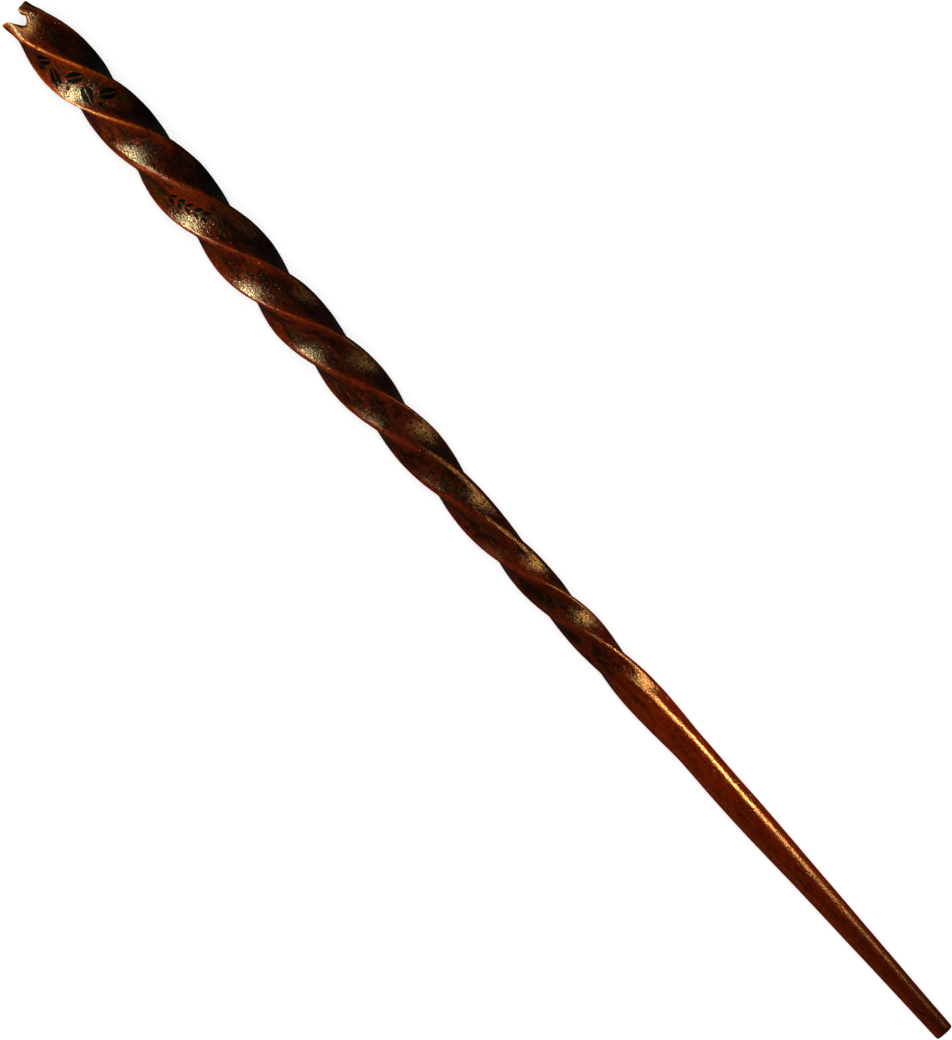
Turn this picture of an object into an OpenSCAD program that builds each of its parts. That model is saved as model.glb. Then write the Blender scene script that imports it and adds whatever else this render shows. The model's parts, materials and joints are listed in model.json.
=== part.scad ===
// Magic wand: a square stick twisted left-handed, running out into a round tapering shaft.
// A steel rod stiffens it, and two engraved rows near the butt are filled with black.
// The wand lies on the ground plane with its tip towards +X. Millimetres, +Z up.

/* [Stick] */
// Length from the longer butt prong to the tip
wand_length = 355; // [352:1:362]
// Scale on all the widths of the stick
girth = 1.0; // [0.95:0.01:1.1]
// Width of the round flat at the tip
tip_d = 4.4; // [3.6:0.1:4.8]
// Length of the rounding at the tip
tip_round = 0.6; // [0.3:0.1:1.5]
// Sections along the stick
rings = 112; // [80:1:130]

/* [Core rod] */
// Diameter of the steel rod
rod_d = 2.5; // [2:0.1:3]
// Distance from the butt end to the rod
rod_start = 14; // [10:1:18]
// Length of the rod
rod_length = 326; // [300:1:328]
// Outer diameter of the spacer rings
spacer_d = 5.6; // [4.5:0.1:6.2]
// Length of a spacer ring
spacer_l = 4; // [2:0.5:6]

/* [Butt plug] */
// Distance from the butt end to the plug's outer face
plug_start = 3; // [2.6:0.1:4]

/* [Ornament] */
// Depth of the engraving below the facet
engrave_depth = 0.55; // [0.3:0.05:0.9]
// Length of a large leaf
leaf_l = 5.4; // [4:0.1:5.6]
// Width of a large leaf
leaf_w = 3.0; // [2:0.1:3.2]
// Width of the bare vein between the halves of a large leaf
leaf_vein = 0.45; // [0.3:0.05:0.7]
// Distance between large leaves along the facet
leaf_pitch = 4.4; // [4.2:0.1:5]
// Length of a small leaf
small_leaf_l = 2.4; // [1.6:0.1:2.8]
// Width of a small leaf
small_leaf_w = 0.95; // [0.6:0.05:1.2]
// Distance between small leaves along the facet
small_pitch = 2.3; // [2:0.1:2.8]
// Diameter of a berry
berry_d = 1.2; // [0.6:0.1:1.4]

/* [Resting pose] */
// Angle that the tip end slopes down by when the wand lies on a table
rest_tilt = 1.09; // [0.5:0.01:1.5]

/* [Hidden] */

wood = [0.30, 0.10, 0.03];
steel = [0.66, 0.67, 0.69];
spacer_tan = [0.74, 0.60, 0.42];
plug_brown = [0.42, 0.24, 0.10];
ink = [0.05, 0.04, 0.04];

eps = 0.01;
fine = 48;

// Stations along the stick where a facet faces straight up: a quarter turn apart.
quarter_turns = [6, 30, 51, 74, 97, 119, 142, 165, 188, 207, 227, 256];
first_turn = quarter_turns[0];
last_turn = quarter_turns[len(quarter_turns) - 1];
butt_turn = 4;       // degrees of twist in the butt end before the first turn station
run_out = 30;       // length over which the twist dies away in the shaft
run_out_turn = 8;   // degrees of twist left after the last full quarter

// Distance from the axis to the surface of the round shaft, [station, radius]
shaft_outline = [[280, 4.2], [308, 3.5], [334, 2.95], [355, 2.5]];

// Distance from the axis to each of the four ridges, [station, radius]. The stick is
// carved by hand, so no two ridges are alike.
ridge_outlines = [
  concat([[0, 4.7], [7, 6.8], [22, 7.6], [61, 8.0], [87, 7.6], [110, 6.9], [151, 6.1],
    [193, 4.7], [237, 4.95], [262, 4.45]], shaft_outline),
  concat([[0, 4.7], [7, 6.8], [20, 7.5], [45, 7.1], [86, 7.7], [130, 6.95], [178, 5.6],
    [216, 5.05], [240, 4.9], [262, 4.45]], shaft_outline),
  concat([[0, 4.7], [7, 6.9], [18, 7.95], [42, 7.5], [65, 7.45], [109, 7.45], [150, 6.35],
    [200, 5.0], [242, 5.05], [262, 4.45]], shaft_outline),
  concat([[0, 4.7], [7, 6.8], [20, 7.5], [40, 7.1], [88, 7.65], [130, 6.95], [173, 4.95],
    [221, 4.5], [236, 4.45], [262, 4.35]], shaft_outline)
];

// Distance from the axis to the middle of a facet, [station, distance]
facet_outline = concat([[0, 4.4], [7, 5.15], [20, 5.5], [30, 5.65], [51, 5.8], [74, 5.85],
  [97, 5.6], [119, 5.55], [142, 4.95], [165, 4.45], [187, 4.1], [207, 3.95], [227, 4.0],
  [242, 4.3], [262, 4.25]], shaft_outline);

// Sideways wander of the axis, [station, offset towards +Y]
wander = [
  [0, -1.9], [2, -1.6], [5, -0.9], [9, -0.6], [20, -0.5], [30, -0.1], [51, 0.35],
  [74, 0.2], [97, 0.05], [119, 0.2], [165, 0.25], [187, 0], [228, 0.05], [257, 0.3],
  [274, 0.05], [300, 0], [355, -0.35]
];

// Directions of a section's points, counted from one ridge to the next
corner_steps = [0, 7, 20, 45, 70, 83];

// Smooth curve through [station, value] points
function slope(t, i) =
  let (a = max(i - 1, 0), b = min(i + 1, len(t) - 1))
  (t[b][1] - t[a][1]) / (t[b][0] - t[a][0]);
function piece(t, x, i = 0) = (i < len(t) - 2 && x > t[i + 1][0]) ? piece(t, x, i + 1) : i;
function hermite(y0, y1, m0, m1, u) =
  (2 * pow(u, 3) - 3 * pow(u, 2) + 1) * y0 + (pow(u, 3) - 2 * pow(u, 2) + u) * m0
  + (3 * pow(u, 2) - 2 * pow(u, 3)) * y1 + (pow(u, 3) - pow(u, 2)) * m1;
function curve(t, x) =
  let (i = piece(t, x), h = t[i + 1][0] - t[i][0], u = min(max((x - t[i][0]) / h, 0), 1))
  hermite(t[i][1], t[i + 1][1], slope(t, i) * h, slope(t, i + 1) * h, u);

// Twist of the section: 0 where the first facet faces up, then 90 degrees per station
turn_points = [for (i = [0 : len(quarter_turns) - 1]) [quarter_turns[i], 90 * i]];
function twist(x) =
  x < first_turn ? butt_turn * (x / first_turn - 1)
  : x > last_turn ? turn_points[len(turn_points) - 1][1]
      + run_out_turn * sin(90 * min((x - last_turn) / run_out, 1))
  : curve(turn_points, x);

// Distance from the axis to the surface of a square with round corners, at an angle
// counted from a ridge: a is half the square's width and c the distance to the corner.
sharpest_r = 0.4;   // smallest rounding of a ridge
function corner_r(a, c) = min(max((a * sqrt(2) - c) / (sqrt(2) - 1), sharpest_r), a);
function on_arc(m, r, t) = let (s = m * sqrt(2)) s * cos(t) + sqrt(r * r - pow(s * sin(t), 2));
function square_r(a, c, t) =
  let (r = corner_r(a, c), m = a - r, q = abs(t), edge = 45 - atan(m / a))
  q <= edge ? on_arc(m, r, q) : a / cos(45 - q);

// One section of the stick, as points. Each quarter of it runs from one ridge to the next.
function from_ridge(t) = t > 45 ? t - 90 : t;
function section(x, k = 1) =
  let (a = curve(facet_outline, x) * girth * k,
    ridges = [for (o = ridge_outlines) curve(o, x) * girth * k],
    middle = curve(wander, x))
  [for (q = [0 : 3], t = corner_steps)
    let (c = ridges[t > 45 ? (q + 1) % 4 : q],
      r = square_r(a, c, from_ridge(t)), g = 45 + 90 * q + t - twist(x))
    [x, middle + r * cos(g), r * sin(g)]];

ring_points = 4 * len(corner_steps);
ring_pitch = (wand_length - tip_round) / (rings - 2);
tip_end_r = facet_outline[len(facet_outline) - 1][1] * girth;
function station(i) = i < rings - 1 ? i * ring_pitch : wand_length;
function ring(i) = i < rings - 1 ? section(station(i)) : section(station(i), tip_d / 2 / tip_end_r);

// Position of the axis above a resting point, found from the lowest point of the skin
lowest = min([for (i = [0 : rings - 1], p = ring(i)) p[2] * cos(rest_tilt) - p[0] * sin(rest_tilt)]);
side_low = min([for (i = [0 : rings - 1], p = ring(i)) p[1]]);
side_high = max([for (i = [0 : rings - 1], p = ring(i)) p[1]]);

// Puts the wand, modelled straight along X from its butt end, on the ground plane
module lay() {
  translate([-wand_length / 2 * cos(rest_tilt), -(side_low + side_high) / 2, -lowest])
    rotate([0, rest_tilt, 0])
      children();
}

// Skin of the stick from one ring to another
module skin(first = 0, last = rings - 1) {
  n = ring_points;
  points = [for (i = [first : last], p = ring(i)) p];
  spans = last - first;
  sides = [for (i = [0 : spans - 1], j = [0 : n - 1])
    let (k = (j + 1) % n, a = i * n + j, b = i * n + k, c = a + n, d = b + n)
    each [[a, b, d], [a, d, c]]];
  near_end = [[for (j = [n - 1 : -1 : 0]) j]];
  far_end = [[for (j = [0 : n - 1]) spans * n + j]];
  polyhedron(points = points, faces = concat(sides, near_end, far_end), convexity = 8);
}

// Cylinder along the wand's axis
module along(x, d, l) {
  translate([x, 0, 0]) rotate([0, 90, 0]) cylinder(d = d, h = l, $fn = fine);
}

// Fishtail notch through the butt end: its outline seen from above, and the dish that opens
// it out towards the upper and the lower facet
crown_points = [
  [-1, -10], [0.9, -10], [0.7, -5.6], [1.2, -4.6], [2.6, -3.6], [3.9, -2.7], [4.7, -1.6],
  [3.7, -0.6], [2.8, -0.1], [1.4, -0.8], [0.5, -0.6], [0.2, 1.2], [0, 1.9], [-1, 1.9]
];
crown_reach = 10;   // half height of the notch's cutter, more than the stick's radius
dish_centre = [3.2, -1.9];
dish_from = 1.2;    // height above the axis where the dish starts
dish_depth = 6;
dish_r = 1.4;
dish_flare = 2.2;   // growth of its radius over the depth
module crown_cut() {
  translate([0, 0, -crown_reach]) linear_extrude(2 * crown_reach) polygon(crown_points);
  for (side = [0, 180])
    translate([dish_centre[0], dish_centre[1], 0])
      rotate([side, 0, 0])
        translate([0, 0, dish_from])
          cylinder(r1 = dish_r, r2 = dish_r + dish_flare, h = dish_depth, $fn = fine);
}

// Leaf with two pointed ends, lying along X
module leaf(l, w) {
  r = (l * l + w * w) / (4 * w);
  intersection() {
    translate([0, w / 2 - r]) circle(r = r, $fn = 96);
    translate([0, r - w / 2]) circle(r = r, $fn = 96);
  }
}

// Half of such a leaf, to the left of a bare vein
module half_leaf(l, w, vein) {
  intersection() {
    leaf(l, w);
    translate([-l, vein / 2]) square([2 * l, w]);
  }
}

// Places a flat outline on the facet that faces up at station up_at, as a prism that
// starts engrave_depth under the facet and stands proud of it
mark_height = 2;
module on_facet(x, up_at, across) {
  a = curve(facet_outline, x) * girth;
  turned = twist(x) - twist(up_at);
  pitch = atan((twist(x + 1) - twist(x - 1)) / 2 * PI / 180 * a);
  translate([x, curve(wander, x), 0])
    rotate([-turned, 0, 0])
      translate([0, 0, a - engrave_depth])
        rotate([0, 0, pitch])
          translate([0, across, 0])
            linear_extrude(mark_height)
              children();
}

// Large row: leaves to the left and right of a line along the facet, and a berry beside
// every second leaf
large_row_at = quarter_turns[1];
large_row_start = 15;
large_row_span = [8, 42];    // stations between which the row lies
large_leaves = 5;
large_leaf_side = 1.25;  // offset of a leaf from the line
large_leaf_lean = 38;    // angle between a leaf and the line
berries = 3;
berry_side = -2.1;       // offset of a berry from the line
berry_lag = 0.1;         // how far a berry lags behind its leaf, as part of the pitch
module large_marks() {
  for (i = [0 : large_leaves - 1], half = [0, 180]) {
    side = i % 2 == 0 ? 1 : -1;
    on_facet(large_row_start + i * leaf_pitch, large_row_at, large_leaf_side * side)
      rotate(large_leaf_lean * side + half) half_leaf(leaf_l, leaf_w, leaf_vein);
  }
  for (i = [0 : berries - 1])
    on_facet(large_row_start + (2 * i - berry_lag) * leaf_pitch, large_row_at, berry_side)
      circle(d = berry_d, $fn = 32);
}

// Small row: pairs of small leaves
small_row_at = quarter_turns[3];
small_row_start = 63;
small_row_span = [58, 80];
small_leaves = 5;
small_leaf_side = 0.85;
small_leaf_lean = 32;
module small_marks() {
  for (i = [0 : small_leaves - 1], side = [-1, 1])
    on_facet(small_row_start + i * small_pitch, small_row_at, small_leaf_side * side)
      rotate(small_leaf_lean * side) leaf(small_leaf_l, small_leaf_w);
}

module stick() {
  color(wood) lay() difference() {
    skin();
    crown_cut();
    along(plug_start, rod_d, rod_start - plug_start + rod_length);
    for (x = spacer_stations) along(x, spacer_d, spacer_l);
    large_marks();
    small_marks();
  }
}

module core_rod() {
  color(steel) lay() along(rod_start, rod_d, rod_length);
}

spacer_stations = [34, 150, 262];
module rod_spacer(x) {
  color(spacer_tan) lay() difference() {
    along(x, spacer_d, spacer_l);
    along(x - eps, rod_d, spacer_l + 2 * eps);
  }
}
module rod_spacer_butt() rod_spacer(spacer_stations[0]);
module rod_spacer_middle() rod_spacer(spacer_stations[1]);
module rod_spacer_shaft() rod_spacer(spacer_stations[2]);

module butt_plug() {
  color(plug_brown) lay() difference() {
    along(plug_start, rod_d, rod_start - plug_start);
    crown_cut();
  }
}

// Rings that bound the part of the skin that holds a row of marks
function ring_at(x) = floor(x / ring_pitch);

module large_ornament_fill() {
  color(ink) lay() intersection() {
    skin(ring_at(large_row_span[0]), ring_at(large_row_span[1]));
    large_marks();
  }
}

module small_ornament_fill() {
  color(ink) lay() intersection() {
    skin(ring_at(small_row_span[0]), ring_at(small_row_span[1]));
    small_marks();
  }
}

stick();
core_rod();
rod_spacer_butt();
rod_spacer_middle();
rod_spacer_shaft();
butt_plug();
large_ornament_fill();
small_ornament_fill();
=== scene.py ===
import json
import math

import bmesh
import bpy
import numpy as np
from mathutils import Matrix, Vector, noise

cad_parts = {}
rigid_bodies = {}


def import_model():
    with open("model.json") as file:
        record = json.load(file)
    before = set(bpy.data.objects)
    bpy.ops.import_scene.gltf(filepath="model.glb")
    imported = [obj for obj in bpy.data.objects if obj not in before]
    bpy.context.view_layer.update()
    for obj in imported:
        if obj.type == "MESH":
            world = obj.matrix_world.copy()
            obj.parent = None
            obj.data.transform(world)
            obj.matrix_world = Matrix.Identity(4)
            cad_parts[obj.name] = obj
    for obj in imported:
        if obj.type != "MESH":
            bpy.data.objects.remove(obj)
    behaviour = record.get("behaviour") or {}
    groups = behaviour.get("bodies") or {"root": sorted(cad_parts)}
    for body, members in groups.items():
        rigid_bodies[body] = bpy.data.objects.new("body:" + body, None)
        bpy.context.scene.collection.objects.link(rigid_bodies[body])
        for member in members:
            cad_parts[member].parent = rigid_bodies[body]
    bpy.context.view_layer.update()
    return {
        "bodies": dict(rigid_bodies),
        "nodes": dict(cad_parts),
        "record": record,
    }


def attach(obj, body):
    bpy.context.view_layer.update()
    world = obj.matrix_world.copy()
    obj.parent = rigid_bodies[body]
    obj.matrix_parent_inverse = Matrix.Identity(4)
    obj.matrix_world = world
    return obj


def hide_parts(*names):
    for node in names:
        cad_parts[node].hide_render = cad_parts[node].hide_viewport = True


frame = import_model()

# --------------------------------------------------------------------------------------
# The wand's own frame: millimetres, X from the butt end to the tip, placed by the record
# --------------------------------------------------------------------------------------
MM = 0.001
tip_mount = next(m for m in frame["record"]["mounts"] if m["name"] == "tip_face")
along = Vector(tip_mount["axis"]).normalized()
tip_at = Vector(tip_mount["pos_m"])
LENGTH = 2 * tip_at.x / along.x / MM

# The driving outlines of the stick, [station, value], as the CAD model has them
SHAFT = [(280, 4.2), (308, 3.5), (334, 2.95), (355, 2.5)]
RIDGES = [
    [(0, 4.7), (7, 6.8), (22, 7.6), (61, 8.0), (87, 7.6), (110, 6.9), (151, 6.1),
     (193, 4.7), (237, 4.95), (262, 4.45)] + SHAFT,
    [(0, 4.7), (7, 6.8), (20, 7.5), (45, 7.1), (86, 7.7), (130, 6.95), (178, 5.6),
     (216, 5.05), (240, 4.9), (262, 4.45)] + SHAFT,
    [(0, 4.7), (7, 6.9), (18, 7.95), (42, 7.5), (65, 7.45), (109, 7.45), (150, 6.35),
     (200, 5.0), (242, 5.05), (262, 4.45)] + SHAFT,
    [(0, 4.7), (7, 6.8), (20, 7.5), (40, 7.1), (88, 7.65), (130, 6.95), (173, 4.95),
     (221, 4.5), (236, 4.45), (262, 4.35)] + SHAFT,
]
FACETS = [(0, 4.4), (7, 5.15), (20, 5.5), (30, 5.65), (51, 5.8), (74, 5.85), (97, 5.6),
          (119, 5.55), (142, 4.95), (165, 4.45), (187, 4.1), (207, 3.95), (227, 4.0),
          (242, 4.3), (262, 4.25)] + SHAFT
WANDER = [(0, -1.9), (2, -1.6), (5, -0.9), (9, -0.6), (20, -0.5), (30, -0.1), (51, 0.35),
          (74, 0.2), (97, 0.05), (119, 0.2), (165, 0.25), (187, 0), (228, 0.05), (257, 0.3),
          (274, 0.05), (300, 0), (355, -0.35)]
QUARTER_TURNS = [6, 30, 51, 74, 97, 119, 142, 165, 188, 207, 227, 256]
BUTT_TURN, RUN_OUT, RUN_OUT_TURN = 4, 30, 8
SHARPEST_RIDGE = 0.4


def curve(table, x):
    """Smooth curve through (station, value) points, at the stations x."""
    xs, ys = np.array(table, float).T
    x = np.asarray(x, float)
    slope = np.empty_like(ys)
    slope[1:-1] = (ys[2:] - ys[:-2]) / (xs[2:] - xs[:-2])
    slope[0] = (ys[1] - ys[0]) / (xs[1] - xs[0])
    slope[-1] = (ys[-1] - ys[-2]) / (xs[-1] - xs[-2])
    i = np.clip(np.searchsorted(xs, x, side="left") - 1, 0, len(xs) - 2)
    h = xs[i + 1] - xs[i]
    u = np.clip((x - xs[i]) / h, 0, 1)
    return ((2 * u**3 - 3 * u**2 + 1) * ys[i] + (u**3 - 2 * u**2 + u) * slope[i] * h
            + (3 * u**2 - 2 * u**3) * ys[i + 1] + (u**3 - u**2) * slope[i + 1] * h)


def twist(x):
    """Degrees of twist at the stations x: 0 where the first facet faces up."""
    x = np.asarray(x, float)
    first, last = QUARTER_TURNS[0], QUARTER_TURNS[-1]
    turned = curve([(t, 90 * i) for i, t in enumerate(QUARTER_TURNS)], x)
    before = BUTT_TURN * (x / first - 1)
    out = np.sin(np.radians(90 * np.clip((x - last) / RUN_OUT, 0, 1)))
    after = 90 * (len(QUARTER_TURNS) - 1) + RUN_OUT_TURN * out
    return np.where(x < first, before, np.where(x > last, after, turned))


def square_radius(a, c, t):
    """Distance from the axis to the side of a round-cornered square, t degrees from a ridge.

    a is half the square's width, and c the distance from the axis to its corner.
    """
    r = np.clip((a * math.sqrt(2) - c) / (math.sqrt(2) - 1), SHARPEST_RIDGE, a)
    m = a - r
    q = np.abs(t)
    far = m * math.sqrt(2)
    arc = far * np.cos(np.radians(q)) + np.sqrt(np.maximum(r**2 - (far * np.sin(np.radians(q)))**2, 0))
    flat = a / np.cos(np.radians(45 - q))
    return np.where(q <= 45 - np.degrees(np.arctan(m / a)), arc, flat)


def wand_matrix():
    """Takes the wand's own frame, in millimetres, to the row frame, in metres."""
    side = Vector((0, 1, 0))
    up = along.cross(side)
    start = tip_at - along * LENGTH * MM - side * float(curve(WANDER, LENGTH)) * MM
    m = Matrix((along, side, up)).transposed().to_4x4()
    m.translation = start
    return m @ Matrix.Scale(MM, 4)


TO_ROW = wand_matrix()


# --------------------------------------------------------------------------------------
# Mesh helpers
# --------------------------------------------------------------------------------------
def new_object(name, verts, faces):
    """A mesh object in the row frame from points in the wand's own frame."""
    mesh = bpy.data.meshes.new(name)
    points = np.asarray(verts, float) @ np.array(TO_ROW.to_3x3()).T + np.array(TO_ROW.translation)
    mesh.from_pydata(points.tolist(), [], faces)
    mesh.validate()
    bm = bmesh.new()
    bm.from_mesh(mesh)
    bmesh.ops.recalc_face_normals(bm, faces=bm.faces)
    bm.to_mesh(mesh)
    bm.free()
    obj = bpy.data.objects.new(name, mesh)
    bpy.context.collection.objects.link(obj)
    return obj


def tube(rings):
    """Points and faces of a closed tube from a list of equally long rings."""
    n = len(rings[0])
    points = [p for ring in rings for p in ring]
    faces = []
    for i in range(len(rings) - 1):
        for j in range(n):
            k = (j + 1) % n
            faces.append((i * n + j, i * n + k, (i + 1) * n + k, (i + 1) * n + j))
    points.append(tuple(np.mean(rings[0], axis=0)))
    points.append(tuple(np.mean(rings[-1], axis=0)))
    near, far = len(points) - 2, len(points) - 1
    last = (len(rings) - 1) * n
    faces += [(near, (j + 1) % n, j) for j in range(n)]
    faces += [(far, last + j, last + (j + 1) % n) for j in range(n)]
    return points, faces


def join(name, parts):
    """One object from several closed (points, faces) parts."""
    points, faces = [], []
    for p, f in parts:
        faces += [tuple(i + len(points) for i in face) for face in f]
        points += list(p)
    return new_object(name, points, faces)


def boolean(obj, other, operation):
    """Applies a boolean to obj, and deletes other."""
    mod = obj.modifiers.new("cut", "BOOLEAN")
    mod.solver = "MANIFOLD"
    mod.operation = operation
    mod.object = other
    evaluated = obj.evaluated_get(bpy.context.evaluated_depsgraph_get())
    result = bpy.data.meshes.new_from_object(evaluated)
    obj.modifiers.clear()
    old = obj.data
    obj.data = result
    result.name = old.name
    bpy.data.meshes.remove(old)
    bpy.data.objects.remove(other)


def rough(p, scale, seed):
    """Smooth noise from -1 to 1 at the points p, with bumps about scale millimetres wide."""
    shift = Vector((seed * 17.3, seed * 5.1, seed * 9.7))
    return np.array([noise.noise(Vector(q) / scale + shift) for q in p])


# --------------------------------------------------------------------------------------
# The stick: a hand-carved twist with a notched butt
# --------------------------------------------------------------------------------------
QUARTER_POINTS, RIDGE_CROWDING = 32, 0.09
SKIN_START = -1.0
RING_SPACING = [(SKIN_START, 0.25), (16, 0.4), (45, 0.6), (262, 1.0)]
TIP_FLAT, TIP_ROUND, TIP_RADIUS = 4.4, 0.6, SHAFT[-1][1]
TIP_ROUND_STEPS = (0.3, 0.65, 0.9, 1.0)
TIP_FLAT_STEPS = (0.75, 0.4)

# Tool marks, (depth, width, seed): full depth up to a station, and shallower beyond it
CARVING = [(0.10, 9.0, 1), (0.05, 3.5, 2), (0.015, 1.2, 3)]
FULL_CARVING_TO, CARVING_FADE = 100, 400
NICK_AT, NICK_RIDGE, NICK_DEPTH, NICK_WIDTH, NICK_SPREAD = 11.4, 1, 0.45, 0.35, 9


def quarter_steps():
    """Directions from one ridge to the next, closer together near the ridges."""
    u = np.arange(QUARTER_POINTS) / QUARTER_POINTS
    return 90 * (u - RIDGE_CROWDING * np.sin(2 * np.pi * u))


def stick_rings(stations, inset=0.0):
    """Rings of the stick's skin at the stations, inset millimetres below its surface."""
    q = np.repeat(np.arange(4), QUARTER_POINTS)
    t = np.tile(quarter_steps(), 4)
    s = np.asarray(stations, float)[:, None]
    a = curve(FACETS, s)
    ridges = np.stack([curve(r, s[:, 0]) for r in RIDGES], axis=1)
    nearest = np.where(t > 45, (q + 1) % 4, q)
    from_ridge = np.where(t > 45, t - 90, t)[None, :]
    r = square_radius(a, ridges[:, nearest], from_ridge)
    g = np.radians(45 + 90 * q + t)[None, :] - np.radians(twist(s))
    x = np.broadcast_to(s, r.shape)
    base = np.stack([x, r * np.cos(g), r * np.sin(g)], axis=-1).reshape(-1, 3)
    carved = sum(depth * rough(base, width, seed) for depth, width, seed in CARVING)
    strength = np.minimum(1 - (x - FULL_CARVING_TO) / CARVING_FADE, 1)
    r = r + carved.reshape(r.shape) * strength - inset
    nick = np.exp(-((x - NICK_AT) / NICK_WIDTH)**2) * np.exp(-(from_ridge / NICK_SPREAD)**2)
    r = r - NICK_DEPTH * nick * (nearest == NICK_RIDGE)[None, :]
    y = curve(WANDER, s) + r * np.cos(g)
    return np.stack([x, y, r * np.sin(g)], axis=-1)


def tip_rings(rim):
    """Rings that round off the tip from its rim, and then close its flat face."""
    middle = rim.mean(axis=0)
    rings = []
    for k in TIP_ROUND_STEPS:
        size = 1 - (1 - TIP_FLAT / 2 / TIP_RADIUS) * (1 - math.cos(k * math.pi / 2))
        ring = middle + (rim - middle) * size
        ring[:, 0] = LENGTH - TIP_ROUND + TIP_ROUND * math.sin(k * math.pi / 2)
        rings.append(ring)
    for k in TIP_FLAT_STEPS:
        ring = middle + (rings[-1] - middle) * k
        ring[:, 0] = LENGTH
        rings.append(ring)
    return rings


def skin(first, last, inset=0.0):
    """Closed part of the stick from one station to another."""
    spans = RING_SPACING + [(LENGTH - TIP_ROUND, 0)]
    stations = np.concatenate([np.arange(a[0], b[0], a[1]) for a, b in zip(spans, spans[1:])])
    stations = stations[(stations >= first) & (stations < last)]
    rings = list(stick_rings(np.append(stations, min(last, LENGTH - TIP_ROUND)), inset))
    if last >= LENGTH:
        rings += tip_rings(rings[-1])
    return tube([[tuple(p) for p in ring] for ring in rings])


# Fishtail outline, from outside the lower prong round the notch to outside the upper prong
CROWN = [(0.9, -12), (0.75, -5.7), (1.2, -4.6), (2.6, -3.6), (3.9, -2.7), (4.7, -1.6),
         (3.7, -0.6), (2.8, -0.1), (1.4, -0.8), (0.5, -0.6), (0.2, 1.2), (0, 1.9), (0, 12)]
CUTTER_STEP, CUTTER_HALF, CUTTER_BACK, CUTTER_SIDE = 0.25, 9, -6, 12

# The notch grows deeper and a little wider above and below the axis, most near its middle
DISH_CENTRE, DISH_FLARE, DISH_SIDEWAYS = (3.2, -1.9), 0.042, 0.35
DISH_REACH, DISH_BLEND = 6.5, 3.5

# Raggedness of the cut along the wand, (depth, width, seed, scale on Z), and across the wand
JAGS = [(0.22, 0.9, 5, 1), (0.12, 0.45, 6, 0.6)]
JAG_BLEND, LEAST_JAG = 2, 0.3
SIDE_JAG_DEPTH, SIDE_JAG_WIDTH, SIDE_JAG_SEED = 0.16, 0.8, 7

# Rounding of the cut edges: up to a station, where the surface turns by more than an angle
SOFT_UNTIL, SOFT_ANGLE, SOFT_ROUNDS, MERGE_DISTANCE = 11.0, 0.5, 8, 0.01


def crown_outline():
    """The fishtail outline with a point every step of the cutter."""
    corners = np.array(CROWN, float)
    outline = []
    for p, q in zip(corners, corners[1:]):
        steps = max(int(np.linalg.norm(q - p) / CUTTER_STEP), 1)
        outline += [p + (q - p) * k / steps for k in range(steps)]
    return np.array(outline + [corners[-1]])


def crown_cutter():
    """The ragged solid that cuts the notch and the prongs' ends out of the butt."""
    outline = crown_outline()
    away = outline - np.array(DISH_CENTRE)
    far = np.linalg.norm(away, axis=1)
    near = np.clip((DISH_REACH - far) / DISH_BLEND, 0, 1)
    outward = np.maximum(away / far[:, None], (0, -1)) * (1, DISH_SIDEWAYS)
    raggedness = np.clip((DISH_REACH - far) / JAG_BLEND, LEAST_JAG, 1)
    rings = []
    for z in np.arange(-CUTTER_HALF, CUTTER_HALF + 0.01, CUTTER_STEP):
        moved = outline + outward * DISH_FLARE * z * z * near[:, None]
        points = np.column_stack([moved, np.full(len(moved), z)])
        jag = sum(depth * rough(points * (1, 1, z_scale), width, seed)
                  for depth, width, seed, z_scale in JAGS)
        moved[:, 0] += np.abs(jag) * raggedness
        moved[:, 1] += SIDE_JAG_DEPTH * rough(points, SIDE_JAG_WIDTH, SIDE_JAG_SEED) * near
        back = [(CUTTER_BACK, CUTTER_SIDE, z), (CUTTER_BACK, -CUTTER_SIDE, z)]
        rings.append([(x, y, z) for x, y in moved] + back)
    return new_object("crown_cutter", *tube(rings))


def soften_crown(obj):
    """Rounds off the cut edges of the butt a little."""
    bm = bmesh.new()
    bm.from_mesh(obj.data)
    inverse = TO_ROW.inverted()
    bmesh.ops.remove_doubles(bm, verts=bm.verts, dist=MERGE_DISTANCE * MM)
    sharp = {v for e in bm.edges if len(e.link_faces) == 2 and e.calc_face_angle(0) > SOFT_ANGLE
             for v in e.verts if (inverse @ v.co).x < SOFT_UNTIL}
    for _ in range(SOFT_ROUNDS):
        bmesh.ops.smooth_vert(bm, verts=list(sharp), factor=0.5,
                              use_axis_x=True, use_axis_y=True, use_axis_z=True)
    bm.to_mesh(obj.data)
    bm.free()


# --------------------------------------------------------------------------------------
# The engraved ornament: a large sprig of leaves and berries, and a small one
# --------------------------------------------------------------------------------------
ENGRAVE_DEPTH, FILL_BELOW = 0.55, 0.14
LARGE_ROW_AT, LARGE_START, LARGE_LEAVES, LEAF_PITCH = QUARTER_TURNS[1], 15, 5, 4.4
SMALL_ROW_AT, SMALL_START, SMALL_LEAVES, SMALL_PITCH = QUARTER_TURNS[3], 63, 5, 2.3
LARGE_SPAN, SMALL_SPAN = (8, 42), (57, 82)
LEAF, LEAF_VEIN, SMALL_LEAF, BERRY = (5.4, 3.0), 0.45, (2.4, 0.95), 1.2
LARGE_SIDE, LARGE_LEAN, SMALL_SIDE, SMALL_LEAN = 1.25, 38, 0.85, 32
BERRIES, BERRY_SIDE, BERRY_LAG = 3, -2.1, 0.1
LEAF_POINTS, BERRY_POINTS = 14, 20

# A half leaf keeps the points this far clear of its vein, and its tips reach a little past them
VEIN_CLEARANCE, HALF_LEAF_TIP = 0.05, 0.25

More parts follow.
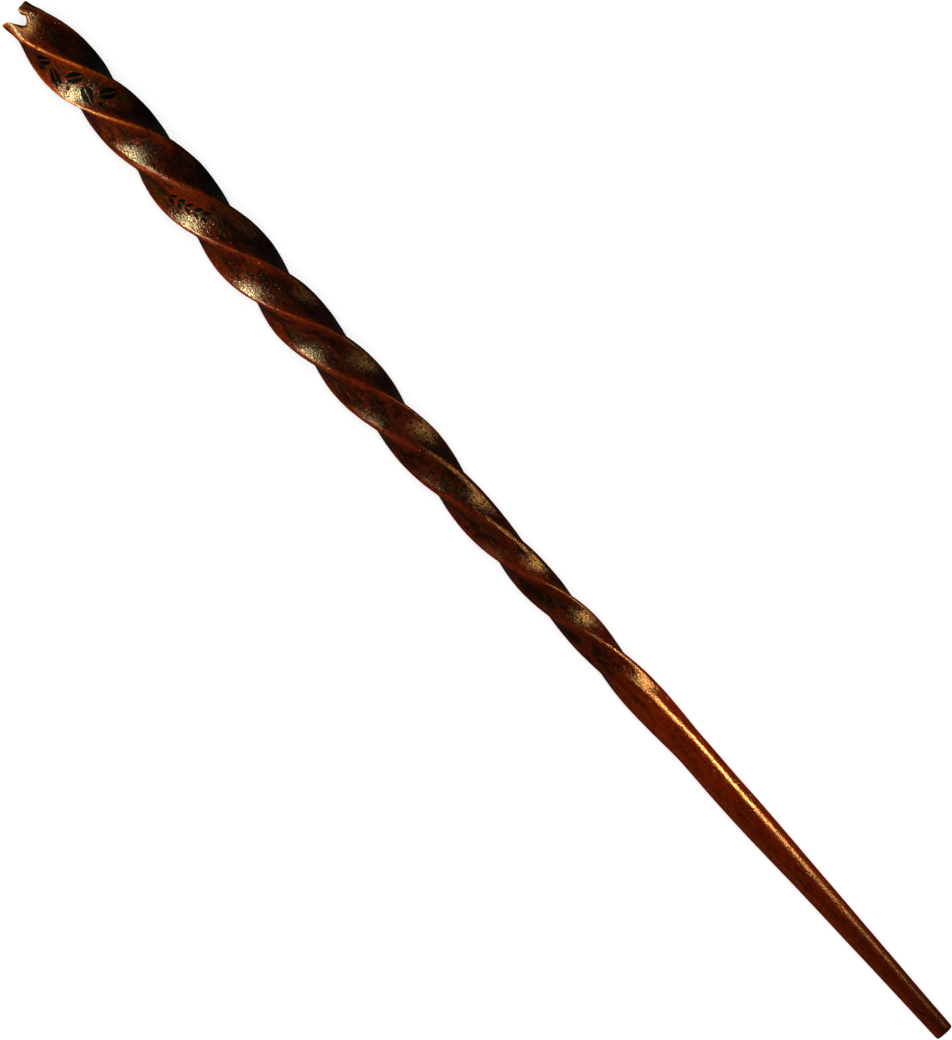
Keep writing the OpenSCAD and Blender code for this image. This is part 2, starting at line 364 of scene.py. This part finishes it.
# Heights above an engraved mark's floor, and the mark's size there
MARK_WALL = ((0, 0.88), (0.25, 0.96), (0.6, 1.0), (1.4, 1.04))


def leaf_arc(length, width):
    """One side of a leaf with two pointed ends, lying along X."""
    r = (length**2 + width**2) / (4 * width)
    half = math.asin(length / 2 / r)
    angles = [half * (2 * k / LEAF_POINTS - 1) for k in range(LEAF_POINTS + 1)]
    return [(r * math.sin(t), r * math.cos(t) + width / 2 - r) for t in angles]


def leaf_outline(length, width):
    """A leaf with two pointed ends, lying along X."""
    upper = leaf_arc(length, width)
    return upper + [(-x, -y) for x, y in upper[1:-1]]


def half_leaf_outline(length, width, vein, side):
    """One half of a leaf, to the left (side 1) or the right (side -1) of its bare vein."""
    upper = [(x, y) for x, y in leaf_arc(length, width) if y > vein / 2 + VEIN_CLEARANCE]
    start = upper[0][0] - HALF_LEAF_TIP, vein / 2
    end = upper[-1][0] + HALF_LEAF_TIP, vein / 2
    half = [start] + upper + [end]
    return half if side > 0 else [(-x, -y) for x, y in half]


def berry_outline(d):
    """A round berry."""
    angles = [2 * math.pi * k / BERRY_POINTS for k in range(BERRY_POINTS)]
    return [(d / 2 * math.cos(t), -d / 2 * math.sin(t)) for t in angles]


def mark(x, up_at, across, angle, outline):
    """A prism over an outline on the facet that faces up at station up_at."""
    a = float(curve(FACETS, x))
    turned = math.radians(float(twist(x) - twist(up_at)))
    pitch = math.atan(math.radians(float(twist(x + 1) - twist(x - 1)) / 2) * a)
    m = (Matrix.Translation((x, float(curve(WANDER, x)), 0)) @ Matrix.Rotation(-turned, 4, "X")
         @ Matrix.Translation((0, 0, a - ENGRAVE_DEPTH)) @ Matrix.Rotation(pitch, 4, "Z")
         @ Matrix.Translation((0, across, 0)) @ Matrix.Rotation(math.radians(angle), 4, "Z"))
    cx, cy = np.mean(outline, axis=0)
    rings = []
    for z, size in MARK_WALL:
        ring = [(cx + (px - cx) * size, cy + (py - cy) * size, z) for px, py in outline]
        rings.append([tuple(m @ Vector(p)) for p in ring])
    return tube(rings)


def large_marks():
    """Veined leaves to both sides of a line, and a berry beside every second one."""
    marks = []
    for i in range(LARGE_LEAVES):
        x = LARGE_START + i * LEAF_PITCH
        side = 1 if i % 2 == 0 else -1
        for half in (-1, 1):
            outline = half_leaf_outline(*LEAF, LEAF_VEIN, half)
            marks.append(mark(x, LARGE_ROW_AT, LARGE_SIDE * side, LARGE_LEAN * side, outline))
    for i in range(BERRIES):
        x = LARGE_START + (2 * i - BERRY_LAG) * LEAF_PITCH
        marks.append(mark(x, LARGE_ROW_AT, BERRY_SIDE, 0, berry_outline(BERRY)))
    return marks


def small_marks():
    """Pairs of small leaves along a line."""
    outline = leaf_outline(*SMALL_LEAF)
    marks = []
    for i in range(SMALL_LEAVES):
        x = SMALL_START + i * SMALL_PITCH
        for side in (-1, 1):
            marks.append(mark(x, SMALL_ROW_AT, SMALL_SIDE * side, SMALL_LEAN * side, outline))
    return marks


def fill(name, marks, first, last):
    """The black filling: what the marks hold, up to a little below the stick's surface."""
    obj = join(name, marks)
    boolean(obj, new_object("inset", *skin(first, last, FILL_BELOW)), "INTERSECT")
    return obj


# --------------------------------------------------------------------------------------
# Surface masks, kept on the mesh for the materials
# --------------------------------------------------------------------------------------
# Widths across a ridge of the rubbed line and of the warm band round it. Both start where the
# ridge stands out from the facet by this ratio, and grow to full strength over this range.
RUB_WIDTH, BAND_WIDTH = 0.38, 1.3
RUB_FROM, RUB_RANGE = 1.02, 0.3

# Bare material of the notch: along its rim, on its floor round a point, and on the prongs. Round the
# point on its floor the bare tan is also a painted highlight of the lit floor.
WORN_WIDTH = 1.3
WORN_AND_LIT_FLOOR, WORN_AND_LIT_FLOOR_RADIUS, WORN_AND_LIT_FLOOR_MOST = (5.2, -2.0), 4.6, 0.95
WORN_PRONG, WORN_PRONG_MOST = 4.2, 0.75


def crown_distance(x, y):
    """Distance in plan, in millimetres, from the points to the fishtail outline."""
    nearest = np.full(len(x), np.inf)
    for (ax, ay), (bx, by) in zip(CROWN[1:], CROWN[2:-1]):
        dx, dy = bx - ax, by - ay
        u = np.clip(((x - ax) * dx + (y - ay) * dy) / (dx * dx + dy * dy), 0, 1)
        nearest = np.minimum(nearest, np.hypot(x - ax - u * dx, y - ay - u * dy))
    return nearest


def bare_and_lit_notch(x, y):
    """How bare the material is at the points: 1 in the notch, 0 away from it. Round a point on the notch
    floor it is also a painted highlight.
    """
    rim = 1 - crown_distance(x, y) / WORN_WIDTH
    # Partly painted highlight: a tan patch round this point of the notch floor, fading outwards.
    floor_away = np.hypot(x - WORN_AND_LIT_FLOOR[0], y - WORN_AND_LIT_FLOOR[1])
    bare_and_lit_floor = WORN_AND_LIT_FLOOR_MOST - floor_away / WORN_AND_LIT_FLOOR_RADIUS
    prong = WORN_PRONG_MOST - x / WORN_PRONG
    return np.clip(np.maximum(np.maximum(rim, bare_and_lit_floor), prong), 0, 1)


def paint_masks(obj):
    """Stores how near each point is to a ridge, how bare it is (with a painted highlight on the notch
    floor), and how far along it lies.
    """
    mesh = obj.data
    co = np.empty(len(mesh.vertices) * 3)
    mesh.vertices.foreach_get("co", co)
    inverse = np.array(TO_ROW.inverted())
    p = co.reshape(-1, 3) @ inverse[:3, :3].T + inverse[:3, 3]
    s = p[:, 0]
    y = p[:, 1] - curve(WANDER, s)
    z = p[:, 2]
    g = np.degrees(np.arctan2(z, y)) + twist(s) - 45
    q = np.round(g / 90)
    ridge = np.choose(q.astype(int) % 4, [curve(r, s) for r in RIDGES])
    from_ridge = np.radians(g - 90 * q) * np.hypot(y, z)
    height = np.clip((ridge / curve(FACETS, s) - RUB_FROM) / RUB_RANGE, 0, 1)
    masks = {
        "rub": np.exp(-(from_ridge / RUB_WIDTH)**2) * height,
        "band": np.exp(-(from_ridge / BAND_WIDTH)**2) * height,
        "cut": bare_and_lit_notch(s, p[:, 1]),
        "station": s / LENGTH,
    }
    for name, values in masks.items():
        layer = mesh.attributes.new(name, "FLOAT", "POINT")
        layer.data.foreach_set("value", values.astype(np.float32))


# --------------------------------------------------------------------------------------
# Materials
# --------------------------------------------------------------------------------------
# Where the mix node has its colour sockets
MIX_A, MIX_B, MIX_RESULT = 6, 7, 2


class Nodes:
    """Short names for building a node tree."""

    def __init__(self, name):
        """Starts a material of this name, with a plain shader."""
        self.material = bpy.data.materials.new(name)
        self.material.use_nodes = True
        self.tree = self.material.node_tree
        self.shader = self.tree.nodes["Principled BSDF"]

    def link(self, socket, value):
        """Links a socket to another, or sets it to a plain value."""
        if hasattr(value, "is_output"):
            self.tree.links.new(value, socket)
        else:
            socket.default_value = value

    def add(self, kind, output=0, settings=None, **inputs):
        """Adds a node. Inputs go by name with _ for a space, or by number as _0 and _1."""
        node = self.tree.nodes.new(kind)
        for key, value in (settings or {}).items():
            setattr(node, key, value)
        for key, value in inputs.items():
            name = int(key[1:]) if key[0] == "_" and key[1:].isdigit() else key.replace("_", " ")
            self.link(node.inputs[name], value)
        return node.outputs[output]

    def stretched(self, along_x, across):
        """Position with features along_x millimetres long and across millimetres wide."""
        coords = self.add("ShaderNodeTexCoord", "Object")
        size = (1 / (along_x * MM), 1 / (across * MM), 1 / (across * MM))
        return self.add("ShaderNodeMapping", Vector=coords, Scale=size)

    def noise(self, along_x, across, detail=3.0, rough=0.5, distortion=0.0):
        """Soft noise around 0.5, with features of this length and width in millimetres."""
        return self.add("ShaderNodeTexNoise", "Fac", Vector=self.stretched(along_x, across), Scale=1.0,
                        Detail=detail, Roughness=rough, Distortion=distortion)

    def cells(self, along_x, across, feature="F1"):
        """Distance to the middles of scattered cells, or to the edges between them."""
        return self.add("ShaderNodeTexVoronoi", "Distance", {"feature": feature},
                        Vector=self.stretched(along_x, across), Scale=1.0)

    def ramp(self, value, low, high, out_low=0.0, out_high=1.0):
        """Goes smoothly from out_low to out_high while the value goes from low to high."""
        return self.add("ShaderNodeMapRange", "Result", {"interpolation_type": "SMOOTHSTEP"}, Value=value,
                        From_Min=low, From_Max=high, To_Min=out_low, To_Max=out_high)

    def math(self, operation, a, b):
        """The result of a sum, product or other operation on two values."""
        return self.add("ShaderNodeMath", 0, {"operation": operation}, _0=a, _1=b)

    def weighted(self, *terms):
        """Sum of (value, weight) terms."""
        parts = [self.math("MULTIPLY", value, weight) for value, weight in terms]
        total = parts[0]
        for part in parts[1:]:
            total = self.math("ADD", total, part)
        return total

    def mix(self, factor, a, b):
        """Colour that goes from a to b as the factor goes from 0 to 1."""
        node = self.tree.nodes.new("ShaderNodeMix")
        node.data_type = "RGBA"
        self.link(node.inputs["Factor"], factor)
        self.link(node.inputs[MIX_A], a)
        self.link(node.inputs[MIX_B], b)
        return node.outputs[MIX_RESULT]

    def attribute(self, name):
        """A mask that is stored on the mesh."""
        return self.add("ShaderNodeAttribute", "Fac", {"attribute_name": name})

    def bump(self, height, distance_mm, strength=1.0, under=None):
        """Normal of bumps of a height, laid over the bumps under them."""
        node = self.tree.nodes.new("ShaderNodeBump")
        self.link(node.inputs["Height"], height)
        node.inputs["Distance"].default_value = distance_mm * MM
        node.inputs["Strength"].default_value = strength
        if under is not None:
            self.link(node.inputs["Normal"], under)
        return node.outputs[0]


# Colours of the stick, linear, from the deep stain to the bare material in the notch
DEEP_BROWN, RED_BROWN = (0.014, 0.0022, 0.0003, 1), (0.066, 0.0098, 0.0008, 1)
OLIVE_BROWN = (0.036, 0.0160, 0.0018, 1)
# The shaft's colour is partly its own redder tone and partly painted light: it is made lighter because
# the shaft is lit more than the grip.
SHAFT_RED_AND_LIT = (0.205, 0.0320, 0.0008, 1)
STREAK_BROWN = (0.014, 0.003, 0.0008, 1)
STAIN_BLACK = (0.006, 0.002, 0.0010, 1)
WARM_RED = (0.120, 0.0150, 0.0010, 1)
RUBBED_ORANGE = (0.30, 0.105, 0.014, 1)
DARK_SPECK, PALE_SPECK = (0.010, 0.0026, 0.0008, 1), (0.170, 0.045, 0.0060, 1)
PIT_BLACK = (0.004, 0.0025, 0.002, 1)
BARE_BROWN, BARE_TAN = (0.090, 0.026, 0.004, 1), (0.25, 0.110, 0.028, 1)

# Where the finish changes along the wand, as parts of its length
TO_SHAFT, TO_SHAFT_RED_AND_LIT, TO_SHAFT_GLOSS = (0.60, 0.72), (0.60, 0.70), (0.62, 0.74)
TO_DULL_TIP, TO_CRACKS, FROM_BUTT = (0.75, 0.88), (0.74, 0.82), (0.06, 0.20)


def black_stain(m, station):
    """Where the stain has gone black, less so on the shaft."""
    stain = m.ramp(m.noise(4.5, 1.7, 4, 0.62, 0.5), 0.50, 0.62, 0, 0.92)
    return m.math("MULTIPLY", stain, m.ramp(station, *TO_SHAFT, 1, 0.25))


def pits_and_cracks(m, station):
    """Round pits in patches, long pores, and hairline cracks near the tip."""
    pit = m.ramp(m.cells(1.3, 1.0), 0.12, 0.28, 1, 0)
    pit = m.math("MULTIPLY", pit, m.ramp(m.noise(7, 4, 2, 0.5), 0.50, 0.58))
    pore = m.ramp(m.cells(3.4, 0.42), 0.08, 0.24, 1, 0)
    pore = m.math("MULTIPLY", pore, m.ramp(m.noise(9, 3, 2, 0.5), 0.42, 0.6))
    crack = m.ramp(m.cells(12, 1.6, "DISTANCE_TO_EDGE"), 0.01, 0.06, 1, 0)
    crack = m.math("MULTIPLY", crack, m.ramp(m.noise(9, 2, 3, 0.6), 0.53, 0.61, 0, 0.7))
    crack = m.math("MULTIPLY", crack, m.ramp(station, *TO_CRACKS))
    return m.math("MAXIMUM", m.math("MAXIMUM", pit, crack), m.math("MULTIPLY", pore, 0.7))


def stained_colour(m, station, streak, stain):
    """Blotches of brown with olive and black in them, redder and lighter on the shaft: partly its own
    redder tone, partly painted light for its stronger lighting.
    """
    blotch = m.ramp(m.noise(9, 4, 4, 0.6), 0.42, 0.58)
    colour = m.mix(blotch, DEEP_BROWN, RED_BROWN)
    olive = m.ramp(m.noise(8, 3, 3, 0.6, 0.6), 0.50, 0.62, 0, 0.8)
    olive = m.math("MULTIPLY", olive, m.ramp(station, *TO_SHAFT, 1, 0))
    colour = m.mix(olive, colour, OLIVE_BROWN)
    # Partly painted light: the shaft is made lighter and redder, standing in for the stronger light on
    # it.
    colour = m.mix(m.ramp(station, *TO_SHAFT_RED_AND_LIT, 0, 0.9), colour, SHAFT_RED_AND_LIT)
    colour = m.mix(m.ramp(streak, 0.45, 0.72, 0, 0.5), colour, STREAK_BROWN)
    return m.mix(stain, colour, STAIN_BLACK)


def rubbed_colour(m, colour, rub, band, station):
    """A colour with warm bands along the ridges, rubbed to orange, most of all at the butt."""
    warm = m.math("MULTIPLY", band, m.ramp(m.noise(6, 1.6, 3, 0.6), 0.30, 0.56, 0.15, 0.9))
    colour = m.mix(warm, colour, WARM_RED)
    butt = m.ramp(station, *FROM_BUTT, 0.9, 0.12)
    patches = m.ramp(m.noise(5, 0.8, 4, 0.65), 0.34, 0.56)
    worn = m.math("MULTIPLY", rub, m.math("MULTIPLY", butt, patches))
    return m.mix(worn, colour, RUBBED_ORANGE)


def marked_colour(m, colour, speck, dark, cut):
    """A colour with specks, black pits and cracks, and bare material in the notch, which on the notch
    floor is partly a painted highlight.
    """
    colour = m.mix(m.ramp(speck, 0.34, 0.50, 0.6, 0), colour, DARK_SPECK)
    colour = m.mix(m.ramp(speck, 0.56, 0.74, 0, 0.45), colour, PALE_SPECK)
    colour = m.mix(dark, colour, PIT_BLACK)
    bare = m.mix(m.noise(1.2, 0.6, 4, 0.6), BARE_BROWN, BARE_TAN)
    ragged = m.math("ADD", cut, m.ramp(m.noise(1.6, 0.7, 4, 0.65), 0.2, 0.8, -0.35, 0.35))
    return m.mix(m.ramp(ragged, 0.10, 0.90), colour, bare)


def varnish_roughness(m, station, fine, cut, stain):
    """Glossy varnish, smoother on the shaft and duller in the notch and at the tip."""
    gloss = m.math("ADD", m.ramp(fine, 0.3, 0.7, 0.15, 0.27), m.math("MULTIPLY", cut, 0.2))
    gloss = m.math("ADD", gloss, m.ramp(station, *TO_SHAFT_GLOSS, 0, -0.05))
    gloss = m.math("ADD", gloss, m.ramp(station, *TO_DULL_TIP, 0, 0.16))
    return m.math("ADD", gloss, m.math("MULTIPLY", stain, 0.10))


def varnish_bumps(m, station, height):
    """Fine bumps over soft dents, both calmer on the shaft."""
    calm = m.ramp(station, *TO_SHAFT, 1, 0.42)
    dents = m.bump(m.math("MULTIPLY", m.noise(2.4, 1.2, 4, 0.6), calm), 0.19, 0.9)
    return m.bump(m.math("MULTIPLY", height, calm), 0.08, 0.95, dents)


def stained_casting():
    """Dark red-brown stained, glossy, rubbed to orange along the ridges."""
    m = Nodes("stained_casting")
    # The cut mask holds the bare notch, and on the notch floor a painted highlight.
    rub, band, cut, station = (m.attribute(name) for name in ("rub", "band", "cut", "station"))
    streak = m.noise(14, 0.55, 4, 0.6)
    fine = m.noise(1.8, 0.25, 3, 0.6)
    grit = m.noise(0.42, 0.30, 2, 0.6)
    speck = m.noise(0.8, 0.5, 3, 0.7)
    stain = black_stain(m, station)
    dark = pits_and_cracks(m, station)
    colour = stained_colour(m, station, streak, stain)
    colour = rubbed_colour(m, colour, rub, band, station)
    colour = marked_colour(m, colour, speck, dark, cut)
    height = m.weighted((streak, 0.35), (fine, 0.3), (grit, 1.0), (speck, 0.9), (dark, -1.3))
    m.link(m.shader.inputs["Base Color"], colour)
    m.link(m.shader.inputs["Roughness"], varnish_roughness(m, station, fine, cut, stain))
    m.link(m.shader.inputs["Normal"], varnish_bumps(m, station, height))
    m.shader.inputs["Specular IOR Level"].default_value = 0.5
    return m.material


def black_fill():
    """Black filling paint, slightly glossy, uneven where it has pooled."""
    m = Nodes("black_fill")
    lumps = m.noise(0.9, 0.6, 4, 0.6)
    colour = m.mix(m.ramp(lumps, 0.4, 0.75), (0.0004, 0.0004, 0.0004, 1), (0.003, 0.002, 0.002, 1))
    m.link(m.shader.inputs["Base Color"], colour)
    m.link(m.shader.inputs["Roughness"], m.ramp(lumps, 0.3, 0.7, 0.34, 0.55))
    m.shader.inputs["Specular IOR Level"].default_value = 0.08
    m.link(m.shader.inputs["Normal"], m.bump(lumps, 0.12, 0.9))
    return m.material


def steel():
    """Bright drawn steel, with fine lines along it."""
    m = Nodes("steel_rod")
    drawn = m.noise(30, 0.12, 4, 0.6)
    m.link(m.shader.inputs["Base Color"], m.mix(drawn, (0.42, 0.42, 0.44, 1), (0.70, 0.70, 0.72, 1)))
    m.link(m.shader.inputs["Roughness"], m.ramp(drawn, 0.3, 0.7, 0.22, 0.42))
    m.link(m.shader.inputs["Normal"], m.bump(drawn, 0.01, 0.6))
    m.shader.inputs["Metallic"].default_value = 1.0
    return m.material


def spacer_plastic():
    """Unpainted tan moulding plastic."""
    m = Nodes("spacer_plastic")
    speck = m.noise(0.7, 0.7, 4, 0.6)
    m.link(m.shader.inputs["Base Color"], m.mix(speck, (0.52, 0.40, 0.26, 1), (0.68, 0.56, 0.40, 1)))
    m.link(m.shader.inputs["Roughness"], m.ramp(speck, 0.3, 0.7, 0.45, 0.62))
    m.link(m.shader.inputs["Normal"], m.bump(speck, 0.02, 0.6))
    return m.material


def plug_filler():
    """Brown filler, sanded and stained."""
    m = Nodes("plug_filler")
    grain = m.noise(0.8, 0.4, 4, 0.65)
    m.link(m.shader.inputs["Base Color"], m.mix(grain, (0.14, 0.055, 0.016, 1), (0.36, 0.19, 0.07, 1)))
    m.link(m.shader.inputs["Roughness"], m.ramp(grain, 0.3, 0.7, 0.5, 0.75))
    m.link(m.shader.inputs["Normal"], m.bump(grain, 0.05, 0.8))
    return m.material


FLOOR_GLOW = 0.72


def floor_paper():
    """White paper that glows a little, so that shadows on it stay pale."""
    m = Nodes("floor_paper")
    fibre = m.noise(40, 40, 3, 0.5)
    m.link(m.shader.inputs["Base Color"], m.mix(fibre, (0.78, 0.78, 0.78, 1), (0.82, 0.82, 0.82, 1)))
    m.shader.inputs["Roughness"].default_value = 0.9
    m.shader.inputs["Specular IOR Level"].default_value = 0.0
    m.shader.inputs["Emission Color"].default_value = (1, 1, 1, 1)
    m.shader.inputs["Emission Strength"].default_value = FLOOR_GLOW
    return m.material


def dress(obj, material):
    """Gives an object one material."""
    obj.data.materials.clear()
    obj.data.materials.append(material)


# --------------------------------------------------------------------------------------
# Build the pieces
# --------------------------------------------------------------------------------------
STICK_SHARP, FILL_SHARP = math.radians(42), math.radians(35)


def shade(obj, sharp_angle):
    """Smooth shading, apart from edges sharper than an angle."""
    obj.data.shade_smooth()
    obj.data.set_sharp_from_angle(angle=sharp_angle)


def build_stick():
    """The carved, notched and engraved stick."""
    obj = new_object("carved_stick", *skin(SKIN_START, LENGTH))
    boolean(obj, crown_cutter(), "DIFFERENCE")
    soften_crown(obj)
    boolean(obj, join("large_cutter", large_marks()), "DIFFERENCE")
    boolean(obj, join("small_cutter", small_marks()), "DIFFERENCE")
    paint_masks(obj)
    shade(obj, STICK_SHARP)
    dress(obj, stained_casting())
    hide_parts("stick")
    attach(obj, "root" if "root" in frame["bodies"] else next(iter(frame["bodies"])))


def build_fill(name, node, marks, first, last):
    """The filling of one row of marks, in place of the CAD node."""
    obj = fill(name, marks, first, last)
    shade(obj, FILL_SHARP)
    dress(obj, black_fill())
    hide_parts(node)
    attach(obj, "root" if "root" in frame["bodies"] else next(iter(frame["bodies"])))


def dress_inner_parts():
    """Gives the CAD model's rod, spacers and plug their materials."""
    spacer_look = spacer_plastic()
    looks = {
        "core_rod": steel(),
        "rod_spacer_butt": spacer_look,
        "rod_spacer_middle": spacer_look,
        "rod_spacer_shaft": spacer_look,
        "butt_plug": plug_filler(),
    }
    for node, look in looks.items():
        for material_slot in frame["nodes"][node].material_slots:
            material_slot.link = "OBJECT"
            material_slot.material = look


build_stick()
build_fill("sprig_fill", "large_ornament_fill", large_marks(), *LARGE_SPAN)
build_fill("small_sprig_fill", "small_ornament_fill", small_marks(), *SMALL_SPAN)
dress_inner_parts()


# --------------------------------------------------------------------------------------
# Floor, light and camera
# --------------------------------------------------------------------------------------
FLOOR_HALF = 3.0
OVERHEAD_STRENGTH, OVERHEAD_ANGLE = 1.35, math.radians(80)

# Strength of the surroundings as light on the wand, and as the camera sees them
AMBIENT, BACKDROP = 0.05, 1.05
# Display gamma: below 1 it deepens the darks
CONTRAST = 0.75

# The camera looks straight down at a point of the wand, with a view this high, in millimetres
ROLL = math.radians(47.865)
VIEW_STATION, VIEW_SIDE, VIEW_HEIGHT = 176.1, -1.26, 267.2
LENS, SENSOR = 200.0, 36.0
CLIP_NEAR, CLIP_FAR = 0.01, 20


def floor():
    """A large flat floor that throws no light back at the wand."""
    mesh = bpy.data.meshes.new("floor")
    corners = [(-FLOOR_HALF, -FLOOR_HALF, 0), (FLOOR_HALF, -FLOOR_HALF, 0),
               (FLOOR_HALF, FLOOR_HALF, 0), (-FLOOR_HALF, FLOOR_HALF, 0)]
    mesh.from_pydata(corners, [], [(0, 1, 2, 3)])
    obj = bpy.data.objects.new("floor", mesh)
    bpy.context.collection.objects.link(obj)
    dress(obj, floor_paper())
    obj.visible_diffuse = False
    obj.visible_glossy = False
    return obj


def new_light(light, receivers):
    """An object for a light that shines on the receivers and on nothing else."""
    obj = bpy.data.objects.new(light.name, light)
    bpy.context.collection.objects.link(obj)
    group = bpy.data.collections.new(light.name + "_lit")
    for receiver in receivers:
        group.objects.link(receiver)
    obj.light_linking.receiver_collection = group
    return obj


def overhead(floor_obj):
    """A wide soft light from above for the floor alone."""
    light = bpy.data.lights.new("overhead", "SUN")
    light.energy, light.angle = OVERHEAD_STRENGTH, OVERHEAD_ANGLE
    new_light(light, [floor_obj])


def softbox(name, wand, station, toward, distance, size, watts, colour, spread, glossy=True):
    """An area light that faces a station of the wand from a direction.

    Its beam spreads by some degrees, and it lights the wand's objects alone.
    """
    light = bpy.data.lights.new(name, "AREA")
    light.shape = "RECTANGLE"
    light.size, light.size_y = size
    light.energy = watts
    light.color = colour
    light.spread = math.radians(spread)
    obj = new_light(light, wand)
    obj.location = TO_ROW @ Vector((station, 0, 0)) + Vector(toward).normalized() * distance
    obj.rotation_mode = "QUATERNION"
    obj.rotation_quaternion = Vector(toward).to_track_quat("Z", "Y")
    obj.visible_camera = False
    obj.visible_glossy = glossy


def sky():
    """A dim even fill that the camera sees as a pale backdrop."""
    world = bpy.data.worlds.new("studio")
    bpy.context.scene.world = world
    world.use_nodes = True
    tree = world.node_tree
    background = tree.nodes["Background"]
    seen = tree.nodes.new("ShaderNodeLightPath").outputs["Is Camera Ray"]
    strength = tree.nodes.new("ShaderNodeMapRange")
    strength.inputs["To Min"].default_value = AMBIENT
    strength.inputs["To Max"].default_value = BACKDROP
    tree.links.new(seen, strength.inputs["Value"])
    tree.links.new(strength.outputs["Result"], background.inputs["Strength"])
    background.inputs["Color"].default_value = (1, 1, 1, 1)


def studio(wand):
    """Two small boxes for the highlights, and a wide window low down towards -Y."""
    sky()
    softbox("left_box", wand, station=55, toward=(-0.20, -0.18, 0.28), distance=0.40,
            size=(0.10, 0.14), watts=0.34, colour=(1.0, 0.90, 0.54), spread=46)
    softbox("window", wand, station=150, toward=(-0.10, -0.90, 0.16), distance=0.60,
            size=(0.70, 0.26), watts=5.2, colour=(1.0, 0.84, 0.56), spread=180, glossy=False)
    softbox("right_box", wand, station=244, toward=(0.05, 0.39, 0.21), distance=0.46,
            size=(0.14, 0.14), watts=0.140, colour=(1.0, 0.61, 0.23), spread=30.5)
    bpy.context.scene.view_settings.view_transform = "Standard"
    bpy.context.scene.view_settings.gamma = CONTRAST


def camera():
    """Straight above the wand, rolled so that it lies along the picture's diagonal."""
    data = bpy.data.cameras.new("camera")
    data.lens, data.sensor_width = LENS, SENSOR
    data.clip_start, data.clip_end = CLIP_NEAR, CLIP_FAR
    obj = bpy.data.objects.new("camera", data)
    bpy.context.collection.objects.link(obj)
    target = TO_ROW @ Vector((VIEW_STATION, VIEW_SIDE, 0))
    obj.location = target + Vector((0, 0, VIEW_HEIGHT * MM * LENS / SENSOR))
    obj.rotation_euler = (0, 0, ROLL)
    bpy.context.scene.camera = obj


wand_objects = [o for o in bpy.context.scene.objects if o.type == "MESH"]
overhead(floor())
studio(wand_objects)
camera()
